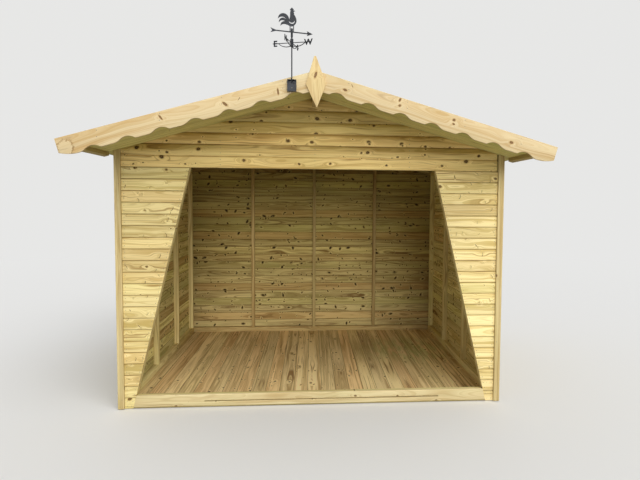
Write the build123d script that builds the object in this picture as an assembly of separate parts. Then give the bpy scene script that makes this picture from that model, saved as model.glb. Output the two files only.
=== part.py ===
from build123d import *
import os
from math import radians, atan, cos, tan, sqrt

os.makedirs("parts", exist_ok=True)

# Open-fronted timber garden shelter with an apex roof, a front canopy and a weather vane.
# Millimetres. The origin is on the ground at the middle of the walls, with the front towards -Y.

# Walls, measured over the cladding and the corner trims
WIDTH = 3050
DEPTH = 2440
EAVES_HEIGHT = 2013
CLADDING = 15
TRIM_WIDTH = 48
TRIM_THICKNESS = 18
FRAME_DEPTH = 50
STUD_WIDTH = 36
RAIL_HEIGHT = 55
GROUND_GAP = 5

# Floor
BEARER_HEIGHT = 36
BEARER_WIDTH = 50
BEARERS = 9
DECK_THICKNESS = 14

# Front opening, which widens towards the floor between two leaning panel edges
OPENING_DROP = 120
PANEL_TOP_WIDTH = 562
PANEL_FOOT_WIDTH = 111
SILL_RAIL_DEPTH = 36
THRESHOLD_THICKNESS = 18
THRESHOLD_FOOT = 14
SLOT_HEIGHT = 9
SLOT_FOOT = 48
SLOT_LEFT_END = 538
SLOT_RIGHT_END = 390

# Middle studs: the outer bays, and how far the pattern is off the middle of its wall
BACK_OUTER_BAY = 701
BACK_STUD_OFFSET = 10
SIDE_OUTER_BAY = 767.5
SIDE_STUD_OFFSET = 28

# How far over the eaves the upper rail of the back wall lies, between the feet of its rafters
BACK_RAIL_RISE = 30

# Roof
ROOF_PITCH = 15.9
EAVES_OVERHANG = 72
CANOPY = 765
BACK_OVERHANG = 70
ROOF_BOARDING = 16
FELT = 3
FELT_LIP = 18
RIDGE_CAP_WIDTH = 150
RIDGE_BEAM_WIDTH = 45
RIDGE_BEAM_DEPTH = 70
RAFTER_WIDTH = 36
RAFTER_DEPTH = 50
EAVES_BATTEN_WIDTH = 36
EAVES_BATTEN_DEPTH = 28
SEAT = 0.3

# Scalloped fascias and diamond finials
FASCIA_THICKNESS = 18
FASCIA_DEPTH = 119
FASCIA_RISE = 26
FASCIA_LAP = 25.5
FASCIA_END_DEPTH = 92
FASCIA_END_RUN = 115
SCALLOPS = 7
SCALLOP_START = 123
SCALLOP_END_FLAT = 2
SCALLOP_WIDTH = 140
SCALLOP_DEPTH = 24
SCALLOP_RADIUS = 76
FINIAL_RISE = 113.5
FINIAL_MIDDLE_DROP = 63
FINIAL_FOOT_DROP = 214
FINIAL_WIDTH = 130
FINIAL_TIP_WIDTH = 12
FINIAL_THICKNESS = 18
FRONT_FINIAL_LEAN = 2.1

# Weather vane, its heights taken from the top of the bracket
VANE_X = -154
BRACKET_WIDTH = 58
BRACKET_DROP = 21
BRACKET_HEIGHT = 75
BRACKET_PLATE = 3
BRACKET_FLANGE = 24
ROD_DIAMETER = 8
ROD_RISE = 314
ROD_TAIL = 14
HUB_DIAMETER = 20
HUB_RISE = 230
HUB_HEIGHT = 48
COMPASS_REACH = 128
COMPASS_ROD = 5
COMPASS_TURN = -18
SCROLL_BAR = 4
SCROLL_REACH = 90
SCROLL_DROP = 23
SLEEVE_DIAMETER = 14
SLEEVE_CLEARANCE = 0.3
SLEEVE_RISE = 264
SLEEVE_WALL_TOP = 4
VANE_PLATE = 3
VANE_HEADING = 14
ARROW_RISE = 297
ARROW_REACH = 136
ARROW_SHAFT = 7
ARROW_HEAD = 38
ARROW_HEAD_WIDTH = 30
ARROW_TAIL = 34
ARROW_FLETCH = 11
COCKEREL_HEIGHT = 147

# Shared faces
clad_x = WIDTH / 2 - TRIM_THICKNESS
wall_x = clad_x - CLADDING
frame_x = wall_x - FRAME_DEPTH
front_y = -DEPTH / 2
front_wall_y = front_y + CLADDING
front_frame_y = front_wall_y + FRAME_DEPTH
back_y = DEPTH / 2
back_wall_y = back_y - CLADDING
back_frame_y = back_wall_y - FRAME_DEPTH
floor_top = BEARER_HEIGHT + DECK_THICKNESS
sill_top = floor_top + RAIL_HEIGHT
opening_top = EAVES_HEIGHT - OPENING_DROP
head_top = opening_top + RAIL_HEIGHT
jamb_lean = atan((PANEL_TOP_WIDTH - PANEL_FOOT_WIDTH) / opening_top)
fascia_front_y = front_y - CANOPY
fascia_back_y = fascia_front_y + FASCIA_THICKNESS
roof_back_y = back_y + BACK_OVERHANG
back_face_y = roof_back_y + FASCIA_THICKNESS
slope = tan(radians(ROOF_PITCH))
upright = 1 / cos(radians(ROOF_PITCH))
apex_height = EAVES_HEIGHT + WIDTH / 2 * slope
eaves_reach = WIDTH / 2 + EAVES_OVERHANG


def soffit(x, drop=0):
    """Height of the underside of the roof boarding, less a drop square to the slope."""
    return apex_height - abs(x) * slope - drop * upright


def jamb_x(z):
    """Half width of the opening at a height."""
    return WIDTH / 2 - PANEL_FOOT_WIDTH - z * tan(jamb_lean)


plate_top = soffit(wall_x, SEAT)
back_rail_foot = EAVES_HEIGHT + BACK_RAIL_RISE
back_rail_top = back_rail_foot + RAIL_HEIGHT
back_stud_spacing = frame_x - BACK_OUTER_BAY
side_stud_spacing = back_frame_y - front_frame_y - 2 * SIDE_OUTER_BAY

# Fascias and vane
fascia_length = eaves_reach * upright + FASCIA_LAP
scallop_end = fascia_length - FASCIA_END_RUN - SCALLOP_END_FLAT - SCALLOP_WIDTH
scallop_spacing = (scallop_end - SCALLOP_START) / (SCALLOPS - 1)
rod_y = fascia_front_y - BRACKET_FLANGE / 2 - BRACKET_PLATE / 2
bracket_top = soffit(VANE_X) + FASCIA_RISE - BRACKET_DROP
rod_top = bracket_top + ROD_RISE
hub_middle = bracket_top + HUB_RISE
sleeve_foot = bracket_top + SLEEVE_RISE
sleeve_top = rod_top + SEAT + SLEEVE_WALL_TOP
arrow_height = bracket_top + ARROW_RISE


def block(x0, x1, y0, y1, z0, z1):
    return Pos((x0 + x1) / 2, (y0 + y1) / 2, (z0 + z1) / 2) * Box(x1 - x0, y1 - y0, z1 - z0)


def board(outline, y0, y1):
    """A board whose outline is drawn in the front view."""
    face = Plane.XZ.offset(-y0) * outline
    return extrude(face, amount=-(y1 - y0))


def outline(*points):
    return make_face(Polyline(*points, close=True))


def both(right_piece):
    """A piece and its mirror image on the other side of the middle."""
    return [right_piece, mirror(right_piece, Plane.YZ)]


def under_roof(piece, drop=0):
    """A piece cut to the slope of the roof boarding, or of what hangs under it."""
    space = outline((0, 0), (WIDTH, 0), (WIDTH, soffit(WIDTH, drop)), (0, soffit(0, drop)),
                    (-WIDTH, soffit(WIDTH, drop)), (-WIDTH, 0))
    return piece & board(space, fascia_front_y, back_face_y)


def save(name, *solids):
    export_step(solids[0] if len(solids) == 1 else Compound(children=list(solids)), f"parts/{name}.step")


# Floor

def floor_bearers():
    step = (back_wall_y - front_wall_y - BEARER_WIDTH) / (BEARERS - 1)
    first = front_wall_y + BEARER_WIDTH / 2
    return [block(-wall_x, wall_x, first + i * step - BEARER_WIDTH / 2, first + i * step + BEARER_WIDTH / 2,
                  0, BEARER_HEIGHT) for i in range(BEARERS)]


def floor_deck():
    return block(-wall_x, wall_x, front_wall_y, back_wall_y, BEARER_HEIGHT, floor_top)


# Front wall

def threshold():
    """The board across the foot of the opening, cut to the lean of the jambs, with its long slot."""
    low, high = THRESHOLD_FOOT, sill_top
    face = outline((-jamb_x(low) + SEAT, low), (jamb_x(low) - SEAT, low),
                   (jamb_x(high) - SEAT, high), (-jamb_x(high) + SEAT, high))
    foot, front = SLOT_FOOT, front_wall_y - THRESHOLD_THICKNESS
    slot = block(SLOT_LEFT_END - jamb_x(foot), jamb_x(foot) - SLOT_RIGHT_END, front, front_wall_y,
                 foot, foot + SLOT_HEIGHT)
    return board(face, front, front_wall_y) - slot


def front_panel():
    face = outline((jamb_x(GROUND_GAP), GROUND_GAP), (clad_x, GROUND_GAP),
                   (clad_x, opening_top), (jamb_x(opening_top), opening_top))
    return board(face, front_y, front_wall_y)


def gable_cladding(y0, y1, foot):
    beam = block(-RIDGE_BEAM_WIDTH / 2 - SEAT, RIDGE_BEAM_WIDTH / 2 + SEAT, y0, y1,
                 soffit(0, RIDGE_BEAM_DEPTH) - SEAT, apex_height)
    return under_roof(block(-clad_x, clad_x, y0, y1, foot, apex_height), SEAT) - beam


def gable_rafter(y0, y1, outer):
    """One rafter of a pair, from the ridge beam down to an outer face."""
    inner = RIDGE_BEAM_WIDTH / 2 + SEAT
    face = outline((inner, soffit(inner, SEAT)), (outer, soffit(outer, SEAT)),
                   (outer, soffit(outer, SEAT + RAFTER_DEPTH)), (inner, soffit(inner, SEAT + RAFTER_DEPTH)))
    return board(face, y0, y1)


def posts(y0, y1):
    """End studs of a front or back frame, up to the rafters."""
    post = block(wall_x - STUD_WIDTH, wall_x, y0, y1, floor_top, apex_height)
    return both(under_roof(post, 2 * SEAT + RAFTER_DEPTH))


def jamb_stud():
    """Leaning stud behind the edge of the opening, between the sill rail and the head rail."""
    run = STUD_WIDTH / cos(jamb_lean)
    face = outline((jamb_x(sill_top), sill_top), (jamb_x(sill_top) + run, sill_top),
                   (jamb_x(opening_top) + run, opening_top), (jamb_x(opening_top), opening_top))
    return board(face, front_wall_y, front_frame_y)


def gable_studs(y0, y1, foot):
    """Short studs from the top rail of a gable up to its rafters, the middle one up to the ridge beam."""
    side = [block(x - STUD_WIDTH / 2, x + STUD_WIDTH / 2, y0, y1, foot, apex_height)
            for x in (BACK_STUD_OFFSET - back_stud_spacing, BACK_STUD_OFFSET + back_stud_spacing)]
    middle = block(-STUD_WIDTH / 2, STUD_WIDTH / 2, y0, y1, foot, soffit(0, RIDGE_BEAM_DEPTH) - SEAT)
    return [under_roof(stud, 2 * SEAT + RAFTER_DEPTH) for stud in side] + [
        under_roof(middle, 2 * SEAT + RAFTER_DEPTH)]


def rail(y0, y1, foot):
    """Rail between the posts, or between the rafters where it lies higher than their feet."""
    length = block(-wall_x + STUD_WIDTH, wall_x - STUD_WIDTH, y0, y1, foot, foot + RAIL_HEIGHT)
    return under_roof(length, 2 * SEAT + RAFTER_DEPTH)


# Side walls

def side_cladding():
    slab = block(wall_x, clad_x, front_wall_y, back_wall_y, GROUND_GAP, apex_height)
    return under_roof(slab, SEAT)


def side_rails():
    return [block(frame_x, wall_x, front_frame_y, back_frame_y, z, z + RAIL_HEIGHT)
            for z in (floor_top, plate_top - RAIL_HEIGHT)]


def side_studs():
    ends = (front_frame_y + STUD_WIDTH / 2, back_frame_y - STUD_WIDTH / 2)
    middles = (SIDE_STUD_OFFSET - side_stud_spacing / 2, SIDE_STUD_OFFSET + side_stud_spacing / 2)
    return [block(frame_x, wall_x, y - STUD_WIDTH / 2, y + STUD_WIDTH / 2, sill_top, plate_top - RAIL_HEIGHT)
            for y in ends + middles]


# Back wall

def back_studs():
    return [block(x - STUD_WIDTH / 2, x + STUD_WIDTH / 2, back_frame_y, back_wall_y,
                  sill_top, back_rail_foot)
            for x in (BACK_STUD_OFFSET + i * back_stud_spacing for i in (-1, 0, 1))]


# Corner trims

def end_trim(y0, y1):
    """Strip on the front or back face at a corner, which butts the side strip."""
    return under_roof(block(WIDTH / 2 - TRIM_WIDTH, clad_x, y0, y1, GROUND_GAP, apex_height), SEAT)


def side_trim(y0, y1):
    """Strip on the side wall at a corner, out to the face of the front or back strip."""
    return under_roof(block(clad_x, WIDTH / 2, y0, y1, GROUND_GAP, apex_height), SEAT)


# Roof

def ridge_beam():
    beam = block(-RIDGE_BEAM_WIDTH / 2, RIDGE_BEAM_WIDTH / 2, fascia_back_y, roof_back_y,
                 soffit(0, RIDGE_BEAM_DEPTH), apex_height)
    return under_roof(beam, SEAT)


def eaves_batten():
    """Batten along the outer edge of the canopy, from its fascia back to the front wall."""
    inner, outer = eaves_reach - EAVES_BATTEN_WIDTH, eaves_reach
    face = outline((inner, soffit(inner, SEAT)), (outer, soffit(outer, SEAT)),
                   (outer, soffit(outer, SEAT + EAVES_BATTEN_DEPTH)),
                   (inner, soffit(inner, SEAT + EAVES_BATTEN_DEPTH)))
    return board(face, fascia_back_y, front_y)


def roof_layer(low, high, inner, outer, y0, y1):
    """A layer that lies on the slope between two heights over the soffit."""
    face = outline((inner, soffit(inner, -low)), (outer, soffit(outer, -low)),
                   (outer, soffit(outer, -high)), (inner, soffit(inner, -high)))
    return board(face, y0, y1)


def roof_boarding():
    return roof_layer(0, ROOF_BOARDING, SEAT, eaves_reach, fascia_back_y, roof_back_y)


def roof_felt():
    """Felt on the boarding, turned down over its eaves edge."""
    inner, outer = eaves_reach, eaves_reach + FELT
    sheet = roof_layer(ROOF_BOARDING, ROOF_BOARDING + FELT, SEAT, outer, fascia_back_y, roof_back_y)
    foot = soffit(inner, -ROOF_BOARDING) - FELT_LIP
    lip = outline((inner, soffit(inner, -ROOF_BOARDING)), (outer, soffit(outer, -ROOF_BOARDING)),
                  (outer, foot), (inner, foot))
    return sheet + board(lip, fascia_back_y, roof_back_y)


def ridge_cap():
    """Strip of felt folded over the ridge."""
    low, high = ROOF_BOARDING + FELT, ROOF_BOARDING + 2 * FELT
    reach = RIDGE_CAP_WIDTH
    face = outline((0, soffit(0, -low)), (reach, soffit(reach, -low)), (reach, soffit(reach, -high)),
                   (0, soffit(0, -high)), (-reach, soffit(reach, -high)), (-reach, soffit(reach, -low)))
    return board(face, fascia_back_y, roof_back_y)


# Fascias

def scalloped_edge():
    """Lower edge of a fascia, from its outer end to the ridge. u runs down the slope, v up into the board."""
    crown_u = sqrt(2 * SCALLOP_DEPTH * SCALLOP_RADIUS - SCALLOP_DEPTH ** 2)
    crown_v = SCALLOP_DEPTH - SCALLOP_RADIUS
    fair = ((SCALLOP_WIDTH - crown_u) ** 2 + crown_v ** 2 - SCALLOP_RADIUS ** 2) / (
        2 * (SCALLOP_RADIUS + crown_v))
    turn_u = crown_u + (SCALLOP_WIDTH - crown_u) * SCALLOP_RADIUS / (SCALLOP_RADIUS + fair)
    turn_v = crown_v + (fair - crown_v) * SCALLOP_RADIUS / (SCALLOP_RADIUS + fair)
    edges = []
    last = (0, 0)
    for i in range(SCALLOPS):
        start = SCALLOP_START + i * scallop_spacing
        cusp, turn, end = (start, 0), (start + turn_u, turn_v), (start + SCALLOP_WIDTH, 0)
        edges.append(Line(last, cusp))
        edges.append(ThreePointArc(cusp, (start + crown_u, SCALLOP_DEPTH), turn))
        edges.append(TangentArc(end, turn, tangent=(-1, 0)))
        last = end
    edges.append(Line(last, (fascia_length - FASCIA_END_RUN, 0)))
    return edges


def fascia_outline():
    """A fascia in its own plane: the ridge end at u = 0, the straight top edge at v = FASCIA_DEPTH."""
    end_foot = (fascia_length, FASCIA_DEPTH - FASCIA_END_DEPTH)
    edges = scalloped_edge()
    edges += [TangentArc((fascia_length - FASCIA_END_RUN, 0), end_foot, tangent=(1, 0)),
              Line(end_foot, (fascia_length, FASCIA_DEPTH)),
              Line((fascia_length, FASCIA_DEPTH), (0, FASCIA_DEPTH)),
              Line((0, FASCIA_DEPTH), (0, 0))]
    return make_face(Curve() + edges)


def fascia(y0, y1):
    """The right-hand fascia of a pair, laid on the slope and cut upright at the ridge."""
    placed = (Pos(0, apex_height + FASCIA_RISE) * Rot(0, 0, -ROOF_PITCH)
              * Pos(0, -FASCIA_DEPTH) * fascia_outline())
    half = block(SEAT, WIDTH, y0, y1, 0, 2 * apex_height)
    return board(placed, y0, y1) & half


def finial(y0, y1, lean):
    """Diamond over the meeting of two fascias, with a blunt tip, turned about its widest line by its lean."""
    half, tip = FINIAL_WIDTH / 2, FINIAL_TIP_WIDTH / 2
    face = outline((-tip, FINIAL_RISE + FINIAL_MIDDLE_DROP), (tip, FINIAL_RISE + FINIAL_MIDDLE_DROP),
                   (half, 0), (0, FINIAL_MIDDLE_DROP - FINIAL_FOOT_DROP), (-half, 0))
    return board(Pos(0, apex_height - FINIAL_MIDDLE_DROP) * Rot(0, 0, lean) * face, y0, y1)


# Weather vane

def at_rod(z):
    return Pos(VANE_X, rod_y, z)


def rod(diameter, z0, z1):
    return at_rod((z0 + z1) / 2) * Cylinder(diameter / 2, z1 - z0)


def vane_bracket():
    """Pressed tray with four flanges, screwed to the fascia, its top flange bored for the rod."""
    tray = block(VANE_X - BRACKET_WIDTH / 2, VANE_X + BRACKET_WIDTH / 2, fascia_front_y - BRACKET_FLANGE,
                 fascia_front_y, bracket_top - BRACKET_HEIGHT, bracket_top)
    hollow = block(VANE_X - BRACKET_WIDTH / 2 + BRACKET_PLATE, VANE_X + BRACKET_WIDTH / 2 - BRACKET_PLATE,
                   fascia_front_y - 2 * BRACKET_FLANGE, fascia_front_y - BRACKET_PLATE,
                   bracket_top - BRACKET_HEIGHT + BRACKET_PLATE, bracket_top - BRACKET_PLATE)
    bore = rod(ROD_DIAMETER + 2 * SEAT, bracket_top - BRACKET_PLATE, bracket_top)
    return tray - hollow - bore


def scroll():
    """Bent square bar that braces one compass arm, from the foot of the hub out to the arm's underside."""
    root = (HUB_DIAMETER / 2 - SCROLL_BAR / 2, SCROLL_BAR - HUB_HEIGHT / 2)
    bend = ThreePointArc(root, (SCROLL_REACH / 2, -SCROLL_DROP), (SCROLL_REACH, 0))
    return extrude(Plane.XZ * trace(bend, SCROLL_BAR), amount=SCROLL_BAR / 2, both=True)


def compass_arms():
    """Hub with four arms and their scrolls, fixed on the rod."""
    hub = rod(HUB_DIAMETER, hub_middle - HUB_HEIGHT / 2, hub_middle + HUB_HEIGHT / 2)
    arm = Rot(0, 90, 0) * Cylinder(COMPASS_ROD / 2, 2 * COMPASS_REACH)
    cross = arm + Rot(0, 0, 90) * arm + [Rot(0, 0, 90 * i) * scroll() for i in range(4)]
    bore = rod(ROD_DIAMETER + 2 * SEAT, hub_middle - HUB_HEIGHT, hub_middle + HUB_HEIGHT)
    return hub + at_rod(hub_middle) * Rot(0, 0, COMPASS_TURN) * cross - bore


def vane_sleeve():
    bore = rod(ROD_DIAMETER + 2 * SLEEVE_CLEARANCE, sleeve_foot, rod_top + SEAT)
    return rod(SLEEVE_DIAMETER, sleeve_foot, sleeve_top) - bore


def vane_plate(face):
    """An upright plate through the rod's axis, its outline drawn about the axis and the arrow's middle."""
    plate = extrude(Plane.XZ * face, amount=VANE_PLATE / 2, both=True)
    bore = rod(SLEEVE_DIAMETER, sleeve_foot, sleeve_top)
    return at_rod(arrow_height) * Rot(0, 0, VANE_HEADING) * plate - bore


def vane_arrow():
    half, reach, fletch = ARROW_SHAFT / 2, ARROW_REACH, ARROW_FLETCH
    barb, neck, quill = ARROW_HEAD_WIDTH / 2, ARROW_REACH - ARROW_HEAD, ARROW_TAIL - ARROW_REACH
    face = outline((reach, 0), (neck, barb), (neck + half, half), (quill, half), (-reach, half + fletch),
                   (fletch - reach, 0), (-reach, -half - fletch), (quill, -half), (neck + half, -half),
                   (neck, -barb))
    return vane_plate(face)


def at_height(*points):
    """Points of the cockerel, given as parts of its height forward of the axis and over the arrow's shaft."""
    return [(x * COCKEREL_HEIGHT, ARROW_SHAFT / 2 + z * COCKEREL_HEIGHT) for x, z in points]


def sickle(root, crest, tip, hollow, heel):
    """A curved feather between two arcs that meet at its tip."""
    root, crest, tip, hollow, heel = at_height(root, crest, tip, hollow, heel)
    return make_face(Curve() + [ThreePointArc(root, crest, tip), ThreePointArc(tip, hollow, heel),
                                Line(heel, root)])


def knob(x, z, radius):
    """A round lobe of the comb or wattle."""
    return Pos(*at_height((x, z))[0]) * Circle(radius * COCKEREL_HEIGHT)


def vane_cockerel():
    """Traditional cockerel silhouette with a pierced tail, standing on the arrow's shaft, facing its head."""
    body = make_face(Curve() + [Spline(*at_height(
        (0.10, 0.72), (0.19, 0.56), (0.20, 0.42), (0.12, 0.28), (0.0, 0.21), (-0.14, 0.24),
        (-0.25, 0.33), (-0.26, 0.43), (-0.15, 0.47), (-0.09, 0.58), (-0.075, 0.72), (-0.065, 0.84),
        (-0.005, 0.91), (0.06, 0.89), (0.085, 0.83)), periodic=True)])
    head = outline(*at_height((0.05, 0.90), (0.15, 0.88), (0.06, 0.82)))
    comb = knob(-0.045, 0.915, 0.035) + knob(0.0, 0.96, 0.04) + knob(0.045, 0.93, 0.035)
    tail = (sickle((-0.12, 0.50), (-0.36, 0.73), (-0.60, 0.47), (-0.37, 0.575), (-0.20, 0.38))
            + sickle((-0.20, 0.42), (-0.37, 0.54), (-0.56, 0.32), (-0.37, 0.43), (-0.22, 0.33))
            + sickle((-0.20, 0.36), (-0.34, 0.395), (-0.49, 0.19), (-0.34, 0.28), (-0.20, 0.25)))
    legs = [outline(*at_height((x, 0), (x + 0.035, 0), (x + 0.035, 0.30), (x, 0.30))) for x in (-0.095, 0.06)]
    wing = sickle((-0.13, 0.40), (0.0, 0.32), (0.13, 0.47), (0.0, 0.37), (-0.13, 0.43))
    return vane_plate(body + head + comb + tail + legs + knob(0.07, 0.76, 0.035) - wing)


# Every piece, by name

save("floor_bearers", *floor_bearers())
save("floor_deck", floor_deck())
save("threshold_board", threshold())
save("front_sill_rail", rail(front_wall_y, front_wall_y + SILL_RAIL_DEPTH, floor_top))
save("front_head_rail", rail(front_wall_y, front_frame_y, opening_top))
save("front_jamb_studs", *both(jamb_stud()))
save("front_studs", *posts(front_wall_y, front_frame_y),
     *gable_studs(front_wall_y, front_frame_y, head_top))
save("front_gable_rafters", *both(gable_rafter(front_wall_y, front_frame_y, wall_x)))
save("front_gable_cladding", gable_cladding(front_y, front_wall_y, opening_top))
save("front_corner_trims", *both(end_trim(front_y - TRIM_THICKNESS, front_y)))
save("back_rails", *[rail(back_frame_y, back_wall_y, foot) for foot in (floor_top, back_rail_foot)])
save("back_studs", *posts(back_frame_y, back_wall_y), *back_studs(),
     *gable_studs(back_frame_y, back_wall_y, back_rail_top))
save("back_gable_rafters", *both(gable_rafter(back_frame_y, back_wall_y, wall_x)))
save("back_cladding", gable_cladding(back_wall_y, back_y, GROUND_GAP))
save("back_corner_trims", *both(end_trim(back_y, back_y + TRIM_THICKNESS)))
for index, side in enumerate(("right", "left")):
    save(f"front_panel_{side}", both(front_panel())[index])
    save(f"{side}_wall_rails", *[both(piece)[index] for piece in side_rails()])
    save(f"{side}_wall_studs", *[both(piece)[index] for piece in side_studs()])
    save(f"{side}_wall_cladding", both(side_cladding())[index])
    save(f"roof_boarding_{side}", both(roof_boarding())[index])
    save(f"roof_felt_{side}", both(roof_felt())[index])
    save(f"front_fascia_{side}", both(fascia(fascia_front_y, fascia_back_y))[index])
    save(f"back_fascia_{side}", both(fascia(roof_back_y, back_face_y))[index])
save("side_corner_trims", *both(side_trim(front_y - TRIM_THICKNESS, front_y - TRIM_THICKNESS + TRIM_WIDTH)),
     *both(side_trim(back_y + TRIM_THICKNESS - TRIM_WIDTH, back_y + TRIM_THICKNESS)))
save("ridge_beam", ridge_beam())
save("middle_rafters", *both(gable_rafter(-RAFTER_WIDTH / 2, RAFTER_WIDTH / 2, frame_x)))
save("canopy_rafters", *both(gable_rafter(fascia_back_y, fascia_back_y + RAFTER_WIDTH,
                                          eaves_reach - EAVES_BATTEN_WIDTH - SEAT)))
save("eaves_battens", *both(eaves_batten()))
save("ridge_cap", ridge_cap())
save("front_finial", finial(fascia_front_y - FINIAL_THICKNESS, fascia_front_y, FRONT_FINIAL_LEAN))
save("back_finial", finial(back_face_y, back_face_y + FINIAL_THICKNESS, 0))
save("vane_bracket", vane_bracket())
save("vane_rod", rod(ROD_DIAMETER, bracket_top - BRACKET_PLATE - ROD_TAIL, rod_top))
save("vane_compass_arms", compass_arms())
save("vane_sleeve", vane_sleeve())
save("vane_arrow", vane_arrow())
save("vane_cockerel", vane_cockerel())
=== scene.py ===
import math
import random
from collections import namedtuple

import bmesh
import bpy
from mathutils import Matrix, Vector, noise
from mathutils.bvhtree import BVHTree


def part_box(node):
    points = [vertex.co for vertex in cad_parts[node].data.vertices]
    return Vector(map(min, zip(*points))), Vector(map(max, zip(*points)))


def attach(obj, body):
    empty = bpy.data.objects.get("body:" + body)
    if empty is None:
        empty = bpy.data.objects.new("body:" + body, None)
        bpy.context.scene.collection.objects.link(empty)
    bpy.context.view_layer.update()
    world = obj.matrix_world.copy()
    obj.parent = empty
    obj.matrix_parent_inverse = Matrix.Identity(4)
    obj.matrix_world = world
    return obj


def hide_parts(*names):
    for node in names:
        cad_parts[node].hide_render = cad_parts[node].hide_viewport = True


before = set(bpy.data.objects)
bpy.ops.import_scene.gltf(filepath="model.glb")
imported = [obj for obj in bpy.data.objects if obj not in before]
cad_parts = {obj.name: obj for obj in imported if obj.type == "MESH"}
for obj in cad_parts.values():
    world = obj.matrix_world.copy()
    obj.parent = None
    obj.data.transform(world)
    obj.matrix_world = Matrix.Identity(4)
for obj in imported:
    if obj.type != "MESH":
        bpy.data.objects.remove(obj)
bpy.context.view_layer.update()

X, Y, Z = Vector((1, 0, 0)), Vector((0, 1, 0)), Vector((0, 0, 1))

# Camera, at the photograph's own viewing angle: image sizes in pixels, angles in degrees
IMAGE_WIDTH = 640
IMAGE_HEIGHT = 480
FOCAL_LENGTH = 547.8
IMAGE_CENTRE_X = 357.66
IMAGE_CENTRE_Y = 236.11
CAMERA_PLACE = (-0.029, -5.5636, 1.6244)
CAMERA_YAW, CAMERA_PITCH, CAMERA_ROLL = -4.878, -3.406, -0.467
SENSOR_MILLIMETRES = 36.0

# Floor and sky. Every length is in metres
FLOOR_RADIUS = 60.0
FLOOR_FADE = (5.0, 13.0)
SKY_STRENGTH = 0.55

# Wall boards. Twice the play of a board stays under the clearance of its lap, so that no two boards meet
ROWS_TO_OPENING_TOP = 21
JOINT_GAP = 0.0010
REBATE = 0.007
LIP = 0.0062
LIP_ROUND = 0.0022
LIP_ROUND_MIDDLE = (0.0007, 0.0006)
LAP_CLEARANCE = 0.0010
BOARD_PLAY = 0.0004
COVE_DEPTH = LIP + LAP_CLEARANCE
COVE_HEIGHT = 0.0080
COVE_DROP = 0.0012
COVE_STEPS = 5
BACK_EDGE_IN = 0.0010
BACK_EDGE_UP = 0.0015
FACE_POINTS = (0.6, 0.3)
CORNER_STRIP = 0.030
GABLE_END_GAP = 0.009

# Floor and roof boards. Tongue and groove lie between two shares of the thickness
DECK_COVER = 0.118
DECK_JOINT = 0.064
DECK_EDGE = 0.0012
ROOF_COVER = 0.112
ROOF_EDGE = 0.0022
TONGUE = 0.005
TONGUE_SHARES = (0.35, 0.60)
GROOVE_SHARES = (0.27, 0.68)
GROOVE_CLEARANCE = 0.0012

# Cutting and shading
STOCK_OVERLENGTH = 0.05
CUT_MARGIN = 0.02
SOFT_EDGE = 0.0016
SHARP_ANGLE = 35
CURVE_ANGLE = 32
TOLERANCE = 0.001

# Where a board may lie in its tree, and how squarely a face must look along the grain to be an end
TREE_LENGTH = 60
PITH_ACROSS = 0.05
PITH_DEPTH = (0.015, 0.09)
END_FACE = 0.6

# Nails, clouts and screws: radius and height of each head, the screw's rings as shares of them, and places
NAIL = (0.0026, 0.0006)
CLOUT = (0.0050, 0.0014)
SCREW = (0.0042, 0.0022)
SCREW_HEAD = ((1, 0.3), (0.86, 0.7), (0.55, 1), (0.32, 1), (0.26, 0.4))
SCREW_RISE = 0.025
TRAY_PLATE = 0.003
NAIL_SEARCH = 0.05
NAIL_INSET = 0.018
NAILS_IN_WALL_BOARD = (0.26, 0.70)
NAILS_IN_DECK_BOARD = (0.2, 0.8)
TRIM_NAIL_FOOT = 0.08
TRIM_NAIL_TOP_GAP = 0.1
TRIM_NAIL_SPACING = 0.42
FASCIA_NAIL_START = 0.22
FASCIA_NAIL_SPACING = 0.40
FASCIA_NAIL_PAIRS = 4
FASCIA_NAIL_RISES = (-0.030, 0.010)
CLOUT_SPACING = 0.075
CLOUT_INSET = 0.02
EAVES_CLOUT_DROP = 0.006

# Felt
FELT = 0.0028
FELT_SHEET = FELT * 0.9
FELT_LOWER_STRIP = 0.92
FELT_LAP = 0.075
FELT_RAMP = 0.020
FELT_WAVE = 0.0012
FELT_STEPS = 72
TURNED_DOWN = 0.2
RIDGE_FOLD = 0.012
RIDGE_STEPS = 12

# Compass letters
LETTER_HEIGHT = 0.038
LETTER_PLATE = 0.0025
LETTER_REACH = 0.110
LETTER_BOLD = 0.0012
COMPASS_TURN = -18
HUB_HALF = 0.024

# Shadow of the joint between two boards: its lower and upper edge in board widths, and how dark it is
FACE_JOINT = (-0.058, 0.016, 0.72)
GABLE_JOINT = (-0.045, 0.015, 0.20)
INNER_JOINT = (0.052, 0.108, 0.90)
SOFFIT_JOINT = (-0.014, 0.014, 0.7)
FLOOR_JOINT = (-0.014, 0.014, 1.0)
JOINT_BLUR = 0.012

# Knots that stand out on the front fascias and finial: x, z, radius, length for width, lean in degrees
LEFT_FASCIA_KNOTS = ((-1.566, 1.946, 0.0022, 14, 14), (-0.975, 2.155, 0.0055, 3.0, -50),
                     (-0.575, 2.248, 0.0075, 2.4, -36), (-0.242, 2.334, 0.0055, 3.4, 98))
LEFT_FASCIA_DISC = (-1.556, 1.955, 0.048, 1.05, 80)
RIGHT_FASCIA_KNOTS = ((0.187, 2.355, 0.0075, 1.7, -18), (0.546, 2.300, 0.0065, 1.8, 60),
                      (0.545, 2.264, 0.0070, 1.3, 20), (0.907, 2.178, 0.0085, 1.2, 0),
                      (0.904, 2.152, 0.0060, 1.4, -30), (1.299, 2.038, 0.0085, 1.5, -10))
FINIAL_KNOT = (-0.003, 2.442, 0.0075, 2.7, 74)

# What the CAD parts give
gable_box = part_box("front_gable_cladding")
trim_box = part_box("front_corner_trims")
panel_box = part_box("front_panel_right")
wall_cover = gable_box[0].z / ROWS_TO_OPENING_TOP
clad_thickness = gable_box[1].y - gable_box[0].y

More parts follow.
